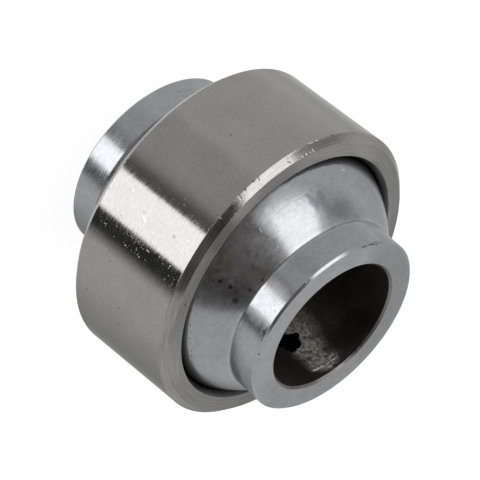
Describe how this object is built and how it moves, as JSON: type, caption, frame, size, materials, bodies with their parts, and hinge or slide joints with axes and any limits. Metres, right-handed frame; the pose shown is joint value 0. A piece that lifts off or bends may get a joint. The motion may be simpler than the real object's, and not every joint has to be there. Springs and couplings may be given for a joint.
{
  "type": "spherical plain bearing",
  "caption": "Spherical plain bearing: a plain outer ring holds a ball with a long collar at each end and a bore through it, for large shaft tilt.",
  "frame": {"origin": "centre of the ball, on the axis of the bore", "axes": "+Z along the bore, away from the collar it stands on; the outer ring is tilted about X at rest"},
  "size_m": [0.035, 0.0358, 0.03],
  "materials": {
    "inner_ring": "polished and plated, with scuffs",
    "outer_ring": "fine ground, grain runs round the ring"
  },
  "bodies": {
    "inner_ring": {"inner_ring": "inner_ring"},
    "outer_ring": {"outer_ring": "outer_ring"}
  },
  "joints": [
    {"name": "ring_tilt", "type": "hinge", "parent": "inner_ring", "child": "outer_ring", "pos_m": [0, 0, 0], "axis": [1, 0, 0], "range_deg": [-26, 18]}
  ]
}
